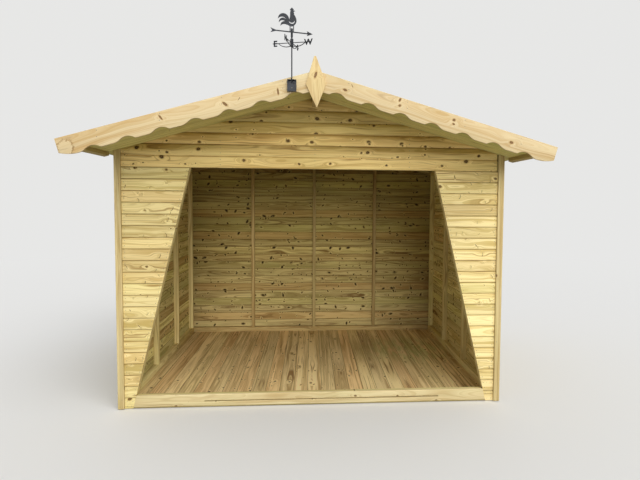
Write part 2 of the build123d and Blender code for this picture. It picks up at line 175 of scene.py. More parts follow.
roof_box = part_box("roof_boarding_right")
roof_points = [vert.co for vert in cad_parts["roof_boarding_right"].data.vertices]
eaves_foot = min(co.z for co in roof_points if co.x > roof_box[1].x - TOLERANCE)
ridge_foot = min(co.z for co in roof_points if co.x < roof_box[0].x + TOLERANCE)
roof_run = roof_box[1].x - roof_box[0].x
roof_drop = ridge_foot - eaves_foot


def slope_down(side):
    """Down the roof on one side, -1 for the left and 1 for the right."""
    return Vector((side * roof_run, 0, -roof_drop)).normalized()


def out_of_roof(side):
    """Straight out of the roof on one side."""
    down = slope_down(side)
    return Vector((-side * down.z, 0, side * down.x))


roof_thickness = (roof_box[1].z - ridge_foot) * slope_down(1).x
roof_top = ridge_foot + roof_thickness / slope_down(1).x
felt_lap_top = roof_run / slope_down(1).x - FELT_LOWER_STRIP


# Colours

def rgb(red, green, blue):
    return (red, green, blue, 1.0)


def tinted(colour, red, green, blue):
    return rgb(colour[0] * red, colour[1] * green, colour[2] * blue)


WHITE = rgb(1.0, 1.0, 1.0)
CREAM = rgb(0.85, 0.70, 0.33)
STRAW = rgb(0.55, 0.39, 0.125)
KNOT = rgb(0.11, 0.052, 0.017)
DARK_KNOT = rgb(0.05, 0.025, 0.010)
TRIM_KNOT = rgb(0.12, 0.06, 0.02)
PALE_FLOOR = rgb(0.80, 0.80, 0.79)
FLOOR_BOUNCE = rgb(0.40, 0.40, 0.395)


# Materials

def arithmetic(operation, swapped=False):
    """An operator of Shade that adds a Math node."""
    def work_out(self, other):
        a, b = (other, self) if swapped else (self, other)
        return self.nodes.node("Math", {"operation": operation}, {0: a, 1: b})
    return work_out


class Shade:
    """A socket of a node tree that takes part in plain arithmetic."""

    __add__ = arithmetic("ADD")
    __radd__ = arithmetic("ADD", swapped=True)
    __sub__ = arithmetic("SUBTRACT")
    __rsub__ = arithmetic("SUBTRACT", swapped=True)
    __mul__ = arithmetic("MULTIPLY")
    __rmul__ = arithmetic("MULTIPLY", swapped=True)
    __truediv__ = arithmetic("DIVIDE")
    __pow__ = arithmetic("POWER")

    def __init__(self, nodes, socket):
        self.nodes = nodes
        self.socket = socket

    def part(self, index):
        """One of the three numbers of a vector or colour."""
        return self.nodes.node("SeparateXYZ", {}, {0: self}, index)

    def fraction(self):
        """What a value has beyond its whole number."""
        return self.nodes.node("Math", {"operation": "FRACT"}, {0: self})

    def rise(self, low, high):
        """A smooth rise from 0 to 1 as a value goes from one level to another."""
        return self.nodes.node("MapRange", {"interpolation_type": "SMOOTHSTEP"},
                               {0: self, 1: low, 2: high})

    def stretched(self, *factors):
        return self.nodes.vector("MULTIPLY", self, factors)

    def length(self):
        return self.nodes.vector("LENGTH", self, output="Value")

    def noise(self, scale=1.0, detail=2.0, output="Fac"):
        return self.nodes.node("TexNoise", {}, {"Vector": self, "Scale": scale, "Detail": detail},
                               output)


class Nodes:
    """A node tree with short ways to add to it."""

    def __init__(self, tree):
        self.tree = tree

    def feed(self, socket, value):
        if isinstance(value, Shade):
            self.tree.links.new(value.socket, socket)
        else:
            socket.default_value = value

    def node(self, kind, settings, sockets, *outputs):
        """Adds a node: its settings first, then the values or links of its sockets, then what it gives."""
        made = self.tree.nodes.new("ShaderNode" + kind)
        for name, value in settings.items():
            setattr(made, name, value)
        for key, value in sockets.items():
            self.feed(made.inputs[key], value)
        found = [Shade(self, made.outputs[key]) for key in outputs or (0,)]
        return found[0] if len(found) == 1 else found

    def attribute(self, name):
        return self.node("Attribute", {"attribute_name": name}, {}, "Vector")

    def place(self):
        return self.node("TexCoord", {}, {}, "Object")

    def vector(self, operation, a, b=(0.0, 0.0, 0.0), output=0):
        return self.node("VectorMath", {"operation": operation}, {0: a, 1: b}, output)

    def mix(self, a, b, factor):
        return self.node("Mix", {"data_type": "RGBA"}, {0: factor, 6: a, 7: b}, 2)

    def bump(self, height, distance, strength):
        return self.node("Bump", {}, {"Height": height, "Distance": distance, "Strength": strength})


class Finish(Nodes):
    """A material being made."""

    def __init__(self, name):
        self.material = bpy.data.materials.new(name)
        self.material.use_nodes = True
        super().__init__(self.material.node_tree)
        self.shader = self.tree.nodes["Principled BSDF"]

    def done(self, colour, roughness, **others):
        """Sets or links the sockets of the surface."""
        for name, value in {"Base Color": colour, "Roughness": roughness, **others}.items():
            self.feed(self.shader.inputs[name], value)


# A kind of knot: its grid along and across the grain, the share of places that hold one, its largest radius,
# how long it is for its width, how it leans and by how much that varies, and its random start
Kind = namedtuple("Kind", "cell chance size stretch lean play seed", defaults=(1.15, 0.0, 0.8, 0.0))

# What a point knows of its nearest knot: the distance in that knot's radii, how much it bends the rings, and
# how far along the grain the point is from it
Knot = namedtuple("Knot", "field pull side", defaults=(None,))


class Pine(Finish):
    """Pine with growth rings about each board's own pith, all of them bent round the knots."""

    RING_BEND = 0.020
    ARC_PULL = 0.4
    KNOT_SCATTER = 0.7
    RAGGED = 0.9

    def __init__(self, name, pale, late, knot):
        super().__init__(name)
        self.pale = pale
        self.late = late
        self.knot = knot
        self.colour = pale
        self.grain = self.attribute("grain")
        self.board = self.attribute("board")

    def ragged(self, vector, size):
        """Makes the outline of a knot uneven."""
        return (vector.noise(120.0, 3.0) - 0.5) * (size * self.RAGGED)

    def scattered(self, kind):
        """The nearest knot of a kind that is strewn over the boards."""
        shifted = self.vector("ADD", self.grain, (kind.seed, kind.seed * 0.37, 0.0))
        spaced = self.vector("DIVIDE", shifted, (*kind.cell, 1.0))
        sockets = {"Vector": spaced, "Scale": 1.0, "Randomness": self.KNOT_SCATTER}
        middle, chosen = self.node("TexVoronoi", {"voronoi_dimensions": "2D"}, sockets, "Position",
                                   "Color")
        away = self.vector("SUBTRACT", spaced, middle)
        angle = (chosen.part(2) - 0.5) * kind.play + kind.lean
        turned = self.node("VectorRotate", {"rotation_type": "Z_AXIS"},
                           {"Vector": away.stretched(*kind.cell, 0.0), "Angle": angle})
        here = chosen.part(0).rise(kind.chance, kind.chance - 0.02)
        radius = here * (chosen.part(1) * 0.6 + 0.4) * kind.size + 0.00001
        oval = turned.stretched(1.0 / kind.stretch, 1.0, 0.0).length()
        swept = turned.stretched(0.34, 1.0, 0.0).length() / radius
        pull = swept.rise(3.3, 0.2) * away.length().rise(0.48, 0.15)
        return Knot((oval + self.ragged(self.grain, kind.size)) / radius, pull, turned.part(0) / radius)

    def single(self, x, z, radius, stretch, lean):
        """One knot at its own place on a board that faces the front."""
        place = self.place()
        dx, dz = place.part(0) - x, place.part(2) - z
        cosine, sine = math.cos(math.radians(lean)), math.sin(math.radians(lean))
        along = (dx * cosine + dz * sine) * (1.0 / stretch)
        across = dz * cosine - dx * sine
        oval = (along * along + across * across) ** 0.5
        swept = (dx * dx * 0.12 + dz * dz) ** 0.5 * (1.0 / radius)
        return Knot((oval + self.ragged(place, radius)) * (1.0 / radius), swept.rise(3.6, 0.2))

    def paint(self, colour, share):
        """Lays a colour over what is there."""
        self.colour = self.mix(self.colour, colour, share)

    def tint(self, factors, share):
        """Multiplies what is there by a colour."""
        self.colour = self.vector("MULTIPLY", self.colour, self.mix(WHITE, rgb(*factors), share))

    def grow(self, bend, ring, sway, sawn):
        """Rings about a pith that wanders a little, and fine fibres that stand up where they are sawn."""
        slow = self.grain.stretched(1.3, 5.0, 5.0).noise(output="Color")
        swing = self.vector("SUBTRACT", slow, (0.5, 0.5, 0.5)).stretched(0.0, sway, sway)
        swayed = self.vector("ADD", self.grain, swing)
        across, depth = swayed.part(1), swayed.part(2)
        radius = (across * across + depth * depth) ** 0.5 + bend * self.RING_BEND
        ring_place = (radius / ring).fraction()
        self.late_wood = ring_place.rise(0.35, 0.95) * ring_place.rise(1.0, 0.96)
        self.fibres = self.grain.stretched(5.0, 420.0, 420.0).noise(detail=3.0)
        self.flow = self.node("CombineXYZ", {},
                              {0: self.grain.part(0) * 0.9, 1: radius * 62.0, 2: depth * 3.0})
        self.height = self.late_wood * 0.4 + self.fibres * (0.5 + sawn)

    def draw_lines(self, lines):
        """Late wood, broad bands and fibres, as one pattern of lines."""
        bands = self.flow.noise(1.0, 3.0) - 0.5
        pattern = (self.late_wood * 0.22 + bands * 1.9 + (self.fibres - 0.5) * 0.40) * lines
        self.paint(self.late, (pattern + 0.30).rise(0.0, 1.0))

    def vary(self, green, red, streak):
        """Greenish blotches, boards that are green or red as a whole, and thin dark streaks."""
        blotch = self.grain.stretched(1.6, 9.0, 9.0).noise(detail=3.0)
        thin = self.flow.stretched(1.7, 2.6, 1.0).noise()
        tone = self.board.part(1)
        self.paint(tinted(self.pale, 0.66, 0.78, 0.60), blotch.rise(0.44, 0.78) * green)
        self.paint(tinted(self.pale, 0.64, 0.76, 0.50), tone.rise(0.4, 0.0) * green)
        self.paint(tinted(self.pale, 0.76, 0.52, 0.40), tone.rise(0.6, 1.0) * red)
        self.paint(tinted(self.late, 0.62, 0.52, 0.45), thin.rise(0.56, 0.72) * streak)

    def set_knot(self, field):
        """A dark knot that lies a little deep, in late wood with a pale halo."""
        self.paint(self.pale, field.rise(3.2, 1.9) * field.rise(1.0, 1.9) * 0.35)
        self.paint(self.late, field.rise(1.9, 1.1) * 0.75)
        core = field.rise(1.15, 0.85)
        self.paint(self.mix(self.mix(self.late, self.knot, 0.75), self.knot, field.rise(0.15, 0.9)), core)
        self.height = self.height - core * 0.9

    def set_arc(self, field, side):
        """A knot that shows only as a dark curve at one side."""
        self.paint(self.late, field.rise(1.6, 0.3) * 0.35)
        self.paint(self.knot, field.rise(0.72, 0.88) * field.rise(1.24, 1.06) * side.rise(0.0, 0.5) * 0.9)

    def set_disc(self, field):
        """A pale knot with a dark rim."""
        self.paint(self.pale, field.rise(1.0, 0.9) * 0.7)
        self.paint(tinted(self.late, 0.5, 0.4, 0.3), field.rise(0.88, 1.0) * field.rise(1.16, 1.0) * 0.8)

    def shade_joint(self, low, high, shadow):
        """The shadow of the joint between two boards."""
        within = (self.attribute("row").part(0) + 0.5).fraction() - 0.5
        inside = (within.rise(low - JOINT_BLUR, low + JOINT_BLUR)
                  * within.rise(high + JOINT_BLUR, high - JOINT_BLUR))
        self.paint(tinted(self.late, 0.42, 0.36, 0.25), inside * shadow)

    def paint_light_and_shade(self, axis, start, end, factors):
        """Painted light and shade: changes the tone from one place of the shelter to another, where more or
        less light falls on it.
        """
        self.tint(factors, self.place().part(axis).rise(start, end))

    def grow_green(self, x, y, radius, factors):
        """A patch of green growth that soaks along the floor boards."""
        place = self.place()
        away = self.vector("SUBTRACT", place, (x, y, 0.0)).length()
        mottled = place.stretched(16.0, 3.0, 1.0).noise(detail=4.0)
        inside = (away * (1.0 / radius) + (mottled - 0.5) * 1.6).rise(1.0, 0.35)
        self.tint(factors, inside * mottled.rise(0.35, 0.6))


def pine(name, pale, late, knot, kinds, lines=1.0, spread=0.16, green=0.3, red=0.1, streak=0.3,
         roughness=0.7, sawn=0.0, ring=0.0058, sway=0.07, joint=None, marks=(), discs=(), arcs=(),
         painted_light_fades=(), growth=None):
    """A face of pine boards. marks are dark knots at places of their own, discs pale ones, and arcs kinds of
    knot that show only as a dark curve. spread is how far the boards differ in brightness.
    painted_light_fades are painted light and shade, that make the tone paler or darker from one place to
    another."""
    wood = Pine(name, pale, late, knot)
    whole = [wood.scattered(kind) for kind in kinds] + [wood.single(*mark) for mark in marks]
    curved = [wood.scattered(kind) for kind in arcs]
    bend = sum([spot.pull for spot in whole] + [spot.pull * wood.ARC_PULL for spot in curved])
    wood.grow(bend, ring, sway, sawn)
    wood.draw_lines(lines)
    wood.vary(green, red, streak)
    for spot in whole:
        wood.set_knot(spot.field)
    for spot in curved:
        wood.set_arc(spot.field, spot.side)
    for disc in discs:
        wood.set_disc(wood.single(*disc).field)
    brightness = wood.board.part(0) * spread + (1.0 - spread / 2)
    wood.colour = wood.node("VectorMath", {"operation": "SCALE"}, {0: wood.colour, 3: brightness})
    if joint:
        wood.shade_joint(*joint)
    for painted_light_fade in painted_light_fades:
        wood.paint_light_and_shade(*painted_light_fade)
    if growth:
        wood.grow_green(*growth)
    roughness = roughness + (wood.fibres - 0.5) * 0.16
    wood.done(wood.colour, roughness, Normal=wood.bump(wood.height, 0.0006, 0.55), IOR=1.30)


def outside_finishes():
    """The boards of the walls and the gable as seen from outside."""
    face_knots = (Kind((0.26, 0.088), 0.22, 0.0110, stretch=1.3, seed=3.0),
                  Kind((0.15, 0.06), 0.07, 0.0060, seed=13.0),
                  Kind((0.30, 0.10), 0.22, 0.0030, stretch=5.5, lean=1.25, play=1.6, seed=11.0))
    face_arcs = (Kind((0.19, 0.09), 0.34, 0.0190, stretch=0.62, play=1.6, seed=63.0),
                 Kind((0.13, 0.07), 0.30, 0.0115, stretch=0.55, lean=3.1, play=1.8, seed=74.0))
    gable_knots = (Kind((0.22, 0.088), 0.44, 0.0130, stretch=1.3, seed=43.0),
                   Kind((0.13, 0.06), 0.22, 0.0075, seed=19.0))
    face = dict(kinds=face_knots, lines=1.45, spread=0.17, green=0.20, red=0.20, streak=0.85,
                joint=FACE_JOINT, arcs=face_arcs)
    pine("cladding_face", CREAM, STRAW, KNOT, **face)
    # The right front panel's copy of the cladding face is paler than the left's: painted light, for the
    # light that falls brighter from the right.
    pine("cladding_painted_light_face", tinted(CREAM, 1.12, 1.12, 1.16), tinted(STRAW, 1.18, 1.22, 1.3), KNOT, **face)
    # The gable's lower boards are painted paler than its upper ones: painted light below the shade of the
    # overhanging roof.
    pine("gable_face", rgb(0.86, 0.650, 0.255), rgb(0.55, 0.36, 0.105), rgb(0.05, 0.024, 0.009), gable_knots,
         lines=1.35, spread=0.20, red=0.20, streak=0.8, joint=GABLE_JOINT,
         painted_light_fades=((2, 2.22, 1.95, (1.15, 1.16, 1.22)),))


def inside_finishes():
    """The backs of the same boards, of the back wall and of the side walls. The side walls' copy is much
    paler than the back wall's: painted light on the side walls, painted shade on the back wall.
    """
    kinds = (Kind((0.115, 0.064), 0.29, 0.0115, stretch=1.8, play=3.0, seed=7.0),
             Kind((0.085, 0.043), 0.20, 0.0062, stretch=2.0, play=3.0, seed=17.0))
    inner = dict(kinds=kinds, lines=1.6, spread=0.36, green=0.36, red=0.42, streak=0.95, roughness=0.85,
                 sawn=0.6, joint=INNER_JOINT)
    # The back wall's boards are painted paler below and darker above: painted light where it comes in low
    # through the opening, painted shade above.
    painted_light_below = (2, 1.3, 0.2, (1.05, 1.07, 1.30))
    painted_shade_above = (2, 1.1, 2.0, (0.85, 0.88, 0.82))
    pine("cladding_back", rgb(0.58, 0.455, 0.160), rgb(0.27, 0.180, 0.052), rgb(0.012, 0.007, 0.003),
         painted_light_fades=(painted_light_below, painted_shade_above), **inner)
    pine("side_cladding_back", rgb(0.90, 0.79, 0.38), rgb(0.50, 0.385, 0.135), rgb(0.022, 0.011, 0.005),
         **inner)


def fascia_finishes():
    """The fascias and finials. Those of the front carry knots at places of their own."""
    pale, late, knot = rgb(0.72, 0.58, 0.335), rgb(0.55, 0.365, 0.150), rgb(0.15, 0.070, 0.024)
    small = (Kind((0.50, 0.12), 0.25, 0.0035, stretch=5.5, lean=1.0, play=1.0, seed=29.0),)
    several = small + (Kind((0.34, 0.10), 0.30, 0.0095, stretch=1.3, lean=0.9, play=1.0, seed=23.0),)
    look = dict(lines=1.1, spread=0.06, green=0.16, red=0.05, streak=0.55, roughness=0.6)
    pine("fascia_face", pale, late, knot, several, **look)
    pine("left_fascia_face", pale, late, knot, small, marks=LEFT_FASCIA_KNOTS, discs=(LEFT_FASCIA_DISC,),
         **look)
    pine("right_fascia_face", pale, late, knot, small, marks=RIGHT_FASCIA_KNOTS, **look)
    pine("finial_face", tinted(pale, 1.04, 1.0, 0.86), late, knot, small, marks=(FINIAL_KNOT,), **look)


def floor_and_roof_finishes():
    """The floor, with a faint green growth, and the boards of the roof as seen from below."""
    deck_knots = (Kind((0.30, 0.10), 0.42, 0.0095, stretch=1.3, seed=5.0),
                  Kind((0.20, 0.07), 0.28, 0.0060, stretch=2.0, seed=41.0))
    roof_knots = (Kind((0.30, 0.09), 0.16, 0.0080, seed=37.0),)
    # The floor boards are painted paler towards the front: painted light from the open front.
    painted_light_at_front = (1, 0.6, -1.2, (1.15, 1.17, 1.18))
    pine("roof_underside", rgb(0.77, 0.68, 0.25), rgb(0.49, 0.41, 0.13), DARK_KNOT, roof_knots, spread=0.14,
         red=0.05, streak=0.5, roughness=0.8, sawn=0.5, joint=SOFFIT_JOINT)
    pine("deck_face", rgb(0.87, 0.67, 0.340), rgb(0.48, 0.315, 0.130), DARK_KNOT, deck_knots, lines=1.5,
         spread=0.26, green=0.10, red=0.30, streak=1.0, roughness=0.65, sway=0.022, joint=FLOOR_JOINT,
         painted_light_fades=(painted_light_at_front,), growth=(1.02, 0.25, 0.75, (0.72, 0.86, 0.74)))


def trim_finishes():
    """The corner strips and the threshold, whose top is painted paler: painted light from above."""
    step_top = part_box("threshold_board")[1].z
    # The threshold's top edge is painted paler: painted light from above.
    painted_light_top = (2, step_top - 0.006, step_top - 0.001, (1.24, 1.26, 1.32))
    pine("trim_face", rgb(0.67, 0.54, 0.265), rgb(0.48, 0.335, 0.12), TRIM_KNOT,
         (Kind((0.36, 0.08), 0.22, 0.0085, stretch=1.3, seed=53.0),), lines=1.1, spread=0.14, green=0.25,
         streak=0.6, roughness=0.6)
    pine("threshold_face", rgb(0.73, 0.62, 0.34), rgb(0.52, 0.385, 0.175), TRIM_KNOT,
         (Kind((0.36, 0.05), 0.42, 0.0085, stretch=1.5, seed=59.0),), lines=1.2, spread=0.1, green=0.2,
         red=0.15, streak=0.7, roughness=0.6, painted_light_fades=(painted_light_top,))


def framing_finishes():
    """The sawn framing of the back and roof, that of the sides and front, and the ends of all timbers. The
    framing of the sides and front is a much paler copy of that of the back and roof: painted light on the
    one, painted shade on the other.
    """
    sawn = dict(lines=1.2, red=0.15, streak=0.6, roughness=0.8, sawn=0.5)
    pine("sawn_framing", rgb(0.51, 0.385, 0.160), rgb(0.30, 0.200, 0.068), KNOT,
         (Kind((0.30, 0.06), 0.25, 0.0090, stretch=1.2, seed=31.0),), spread=0.20, **sawn)
    # The paler copy of the sawn framing: painted light.
    pine("sawn_side_framing", rgb(0.93, 0.79, 0.38), rgb(0.60, 0.45, 0.180), KNOT,
         (Kind((0.30, 0.06), 0.25, 0.0090, stretch=1.2, seed=71.0),), green=0.25, **sawn)
    pine("end_grain", rgb(0.46, 0.34, 0.145), rgb(0.25, 0.165, 0.065), KNOT, (), lines=0.8, spread=0.2,
         red=0.05, streak=0.2, roughness=0.85, ring=0.0040)


def felt_material():
    """Mineral felt: dark and a few pale granules, faint weathering and streaks down the slope."""
    finish = Finish("mineral_felt")
    place = finish.place()
    speck = finish.node("TexVoronoi", {}, {"Vector": place, "Scale": 420.0}, "Color").part(0)
    worn = place.noise(1.3, 4.0)
    runs = place.stretched(0.9, 13.0, 0.9).noise(detail=3.0)
    colour = finish.mix(rgb(0.035, 0.038, 0.037), rgb(0.15, 0.155, 0.15), speck.rise(0.35, 1.0))
    colour = finish.mix(colour, rgb(0.12, 0.125, 0.12), worn.rise(0.45, 0.8) * 0.35)
    colour = finish.mix(colour, rgb(0.11, 0.112, 0.100), runs.rise(0.48, 0.72) * 0.40)
    finish.done(colour, 0.92, Normal=finish.bump(place.noise(700.0, 1.0), 0.0012, 0.7))


def black_material():
    """Black satin paint with bluish patches of dust and painted sheen, browner in a few worn places."""
    finish = Finish("black_paint")
    place = finish.place()
    worn = place.noise(55.0, 5.0).rise(0.60, 0.74)
    # Bluish patches: partly dust, partly a sheen painted into the colour.
    dust_and_painted_sheen = place.noise(14.0, 3.0).rise(0.35, 0.75)
    colour = finish.mix(rgb(0.007, 0.008, 0.011), rgb(0.016, 0.021, 0.032), dust_and_painted_sheen)
    colour = finish.mix(colour, rgb(0.035, 0.028, 0.024), worn * 0.6)
    uneven = finish.bump(place.noise(900.0), 0.0002, 0.3)
    finish.done(colour, worn * 0.25 + 0.42, Normal=uneven, IOR=1.38)


def nail_material():
    """Dull galvanised steel."""
    finish = Finish("nail_steel")
    spots = finish.place().noise(600.0, 3.0)
    colour = finish.mix(rgb(0.17, 0.15, 0.12), rgb(0.32, 0.29, 0.24), spots)
    finish.done(colour, spots * 0.2 + 0.5, Normal=finish.bump(spots, 0.0003, 0.4), Metallic=0.6)


outside_finishes()
inside_finishes()
fascia_finishes()
floor_and_roof_finishes()
trim_finishes()
framing_finishes()
felt_material()
black_material()
nail_material()


# Meshes

def islands(bm):
    """The separate solids of a mesh, each as its list of points."""
    left = set(bm.verts)
    found = []
    while left:
        reached = [left.pop()]
        for vert in reached:
            for edge in vert.link_edges:
                other = edge.other_vert(vert)
                if other in left:
                    left.discard(other)
                    reached.append(other)
        found.append(reached)
    return found


def span(verts, axis):
    """The lowest and highest place of some points along a direction."""
    reach = [vert.co.dot(axis) for vert in verts]
    return min(reach), max(reach)


def midway(verts, axis):
    return sum(span(verts, axis)) / 2


def centre(verts):
    return Vector([midway(verts, axis) for axis in (X, Y, Z)])


def straight(axis):
    return lambda verts: axis


def longest(verts):
    """The main direction in which a bar runs."""
    return max((X, Y, Z), key=lambda axis: span(verts, axis)[1] - span(verts, axis)[0]).copy()


def down_own_slope(verts):
    return slope_down(math.copysign(1, centre(verts).x))


def cross_axes(verts, along):
    """The directions across the face of a board and into its depth."""
    side = Z.cross(along) if abs(along.z) < 0.9 else X.copy()
    side.normalize()
    pair = (side, along.cross(side))
    return sorted(pair, key=lambda axis: span(verts, axis)[0] - span(verts, axis)[1])


def grow_grain(bm, along_of, seed, end_slot, face_slot=None):
    """Gives every point its place in its own board, along the grain, across it and deep from the pith, with
    a random start in the tree, and three random numbers of the board. Ends get end grain."""
    grain = bm.verts.layers.float_vector.new("grain")
    board = bm.verts.layers.float_vector.new("board")
    bm.normal_update()
    dice = random.Random(seed)
    for verts in sorted(islands(bm), key=lambda solid: [round(value, 3) for value in centre(solid)]):
        along = along_of(verts)
        across, depth = cross_axes(verts, along)
        start = dice.uniform(0, TREE_LENGTH)
        pith_across = dice.uniform(-PITH_ACROSS, PITH_ACROSS) - midway(verts, across)
        pith_depth = dice.choice((-1, 1)) * dice.uniform(*PITH_DEPTH) - midway(verts, depth)
        numbers = Vector([dice.random() for _ in range(3)])
        for vert in verts:
            vert[grain] = (vert.co.dot(along) + start, vert.co.dot(across) + pith_across,
                           vert.co.dot(depth) + pith_depth)
            vert[board] = numbers
        for face in {face for vert in verts for face in vert.link_faces}:
            if abs(face.normal.dot(along)) > END_FACE:
                face.material_index = end_slot
            elif face_slot:
                face.material_index = face_slot(face)


def count_rows(bm, up, first_edge, cover):
    """Tells every point how many boards it is above the first joint."""
    row = bm.verts.layers.float_vector.new("row")
    for vert in bm.verts:
        vert[row] = ((vert.co.dot(up) - first_edge) / cover, 0, 0)


def add_object(name, data):
    thing = bpy.data.objects.new(name, data)
    bpy.context.scene.collection.objects.link(thing)
    return thing


def mesh_object(name, bm):
    mesh = bpy.data.meshes.new(name)
    bm.to_mesh(mesh)
    bm.free()
    return add_object(name, mesh)


def finish_piece(bm, name, coats, node=None):
    """Turns a mesh into a piece of the shelter. coats names its materials, and node the CAD node that it
    stands for."""
    piece = mesh_object(name, bm)
    for coat in coats:
        piece.data.materials.append(bpy.data.materials[coat])
    piece.data.shade_smooth()
    piece.data.set_sharp_from_angle(angle=math.radians(CURVE_ANGLE))
    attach(piece, "shelter")
    if node:
        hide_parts(node)
    return piece


def node_solid(node):
    """A CAD node with its points welded and its flat faces whole."""
    bm = bmesh.new()
    bm.from_mesh(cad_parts[node].data)
    bmesh.ops.remove_doubles(bm, verts=bm.verts, dist=1e-6)
    bmesh.ops.dissolve_limit(bm, angle_limit=math.radians(0.3), verts=bm.verts, edges=bm.edges)
    return bm


def places_along(node, axis):
    """Where the solids of a CAD node stand along a direction, each place once."""
    bm = node_solid(node)
    places = {round(centre(solid).dot(axis), 3) for solid in islands(bm)}
    bm.free()
    return sorted(places)


def soften(bm):
    """Rounds the sharp edges of sawn timber."""
    edges = [edge for edge in bm.edges
             if len(edge.link_faces) == 2 and edge.calc_face_angle(0) > math.radians(SHARP_ANGLE)]
    bmesh.ops.bevel(bm, geom=edges, offset=SOFT_EDGE, segments=2, profile=0.5, affect="EDGES",
                    clamp_overlap=True)


def dress_timber(node, along_of, face, seed):
    """A sawn or planed timber: the CAD solid with softened edges and its own grain."""
    bm = node_solid(node)
    soften(bm)
    grow_grain(bm, along_of, seed, 1)
    finish_piece(bm, node + "_timber", (face, "end_grain"), node)


def sweep(bm, section, start, end, outward, up):
    """A bar of constant section between two points. section holds its corners as (out, up) pairs."""
    first, last = [[bm.verts.new(place + outward * out + up * rise) for out, rise in section]
                   for place in (start, end)]
    for i, corner in enumerate(first):
        bm.faces.new((first[i - 1], corner, last[i], last[i - 1]))
    bm.faces.new(reversed(first))
    bm.faces.new(last)


def shiplap_section():
    """Section of a wall board, out from its back and up from its foot: a lip, a cove and a tongue above."""
    thick = clad_thickness
    foot, top = REBATE + JOINT_GAP, wall_cover + REBATE
    points = [(BACK_EDGE_IN, foot), (0.0, foot + BACK_EDGE_UP), (0.0, top - BACK_EDGE_UP),
              (BACK_EDGE_IN, top), (thick - COVE_DEPTH, top)]
    for step in range(COVE_STEPS + 1):
        turn = math.radians(90 - 90 * step / COVE_STEPS)
        rise = wall_cover - COVE_DROP - COVE_HEIGHT * math.cos(turn)
        points.append((thick - COVE_DEPTH * math.sin(turn), rise))
    points += [(thick, wall_cover * share) for share in FACE_POINTS]
    middle_in, middle_up = LIP_ROUND_MIDDLE
    points += [(thick, JOINT_GAP + LIP_ROUND), (thick - middle_in, JOINT_GAP + middle_up),
               (thick - LIP_ROUND, JOINT_GAP), (thick - LIP, JOINT_GAP), (thick - LIP, foot)]
    return points


def tongued_section(cover, thick, edge):
    """Section of a floor or roof board: a tongue, a groove and a small slope at each edge of its face."""
    foot, top = JOINT_GAP / 2, cover - JOINT_GAP / 2
    tip, bottom = cover + TONGUE, TONGUE + GROOVE_CLEARANCE
    tongue_back, tongue_front = [thick * share for share in TONGUE_SHARES]
    groove_back, groove_front = [thick * share for share in GROOVE_SHARES]
    return [(0.0, foot), (0.0, top), (tongue_back, top), (tongue_back, tip), (tongue_front, tip),
            (tongue_front, top), (thick - edge, top), (thick, top - edge), (thick, foot + edge),
            (thick - edge, foot), (groove_front, foot), (groove_front, bottom), (groove_back, bottom),
            (groove_back, foot)]


def cut_boards(stock, node, thick_axis):
    """The boards cut to the outline of a CAD slab, which is thickened first so that only its edges cut."""
    outline = node_solid(node)
    for vert in outline.verts:
        on_top = any(face.normal.dot(thick_axis) > 0.5 for face in vert.link_faces)
        vert.co += thick_axis * (CUT_MARGIN if on_top else -CUT_MARGIN)
    bmesh.ops.recalc_face_normals(stock, faces=stock.faces)
    boards, cutter = mesh_object("stock", stock), mesh_object("cutter", outline)
    cut = boards.modifiers.new("cut", "BOOLEAN")
    cut.operation = "INTERSECT"
    cut.solver = "EXACT"
    cut.object = cutter
    result = bmesh.new()
    result.from_mesh(boards.evaluated_get(bpy.context.evaluated_depsgraph_get()).to_mesh())
    for thing in (boards, cutter):
        bpy.data.objects.remove(thing)
    return result


def lay_boards(node, section, cover, along, up, outward, first_edge, thick_axis, faces, seed,
               stop=None):
    """Fills a CAD slab with boards. first_edge is the place of a joint, and stop is where the boards end if
    that is short of the slab."""
    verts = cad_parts[node].data.vertices
    low_up, high_up = span(verts, up)
    low_run, high_run = span(verts, along)
    back = span(verts, outward)[0]
    start = low_run - STOCK_OVERLENGTH
    end = high_run + STOCK_OVERLENGTH if stop is None else stop
    dice = random.Random(seed)
    row = math.floor((low_up - first_edge) / cover) - 1
    stock = bmesh.new()
    while first_edge + row * cover < high_up:
        foot = outward * (back + dice.uniform(-BOARD_PLAY, BOARD_PLAY)) + up * (first_edge + row * cover)
        sweep(stock, section, foot + along * start, foot + along * end, outward, up)
        row += 1
    bm = cut_boards(stock, node, thick_axis)
    grow_grain(bm, straight(along), seed, 2, lambda face: 0 if face.normal.dot(outward) > -0.5 else 1)
    count_rows(bm, up, first_edge, cover)
    return finish_piece(bm, node + "_boards", (*faces, "end_grain"), node)


def add_head(bm, place, normal, rings, sides):
    """A round head on a surface. rings holds a radius and a height for each ring, outer ring first."""
    turn = normal.to_track_quat("Z", "Y").to_matrix()
    corners = [2 * math.pi * i / sides for i in range(sides)]
    last = None
    for radius, height in rings:
        ring = []
        for angle in corners:
            corner = Vector((radius * math.cos(angle), radius * math.sin(angle), height))
            ring.append(bm.verts.new(place + turn @ corner))
        if last:
            for i in range(sides):
                bm.faces.new((last[i - 1], last[i], ring[i], ring[i - 1]))
        else:
            bm.faces.new(reversed(ring))
        last = ring
    bm.faces.new(last)


def heads(name, spots, size):
    """Nail heads at spots, each a place and the direction that it faces."""
    radius, height = size
    rings = ((radius, -height), (radius, height * 0.6), (radius * 0.75, height))
    bm = bmesh.new()
    for place, normal in spots:
        add_head(bm, place, normal, rings, 8)
    finish_piece(bm, name, ("nail_steel",))


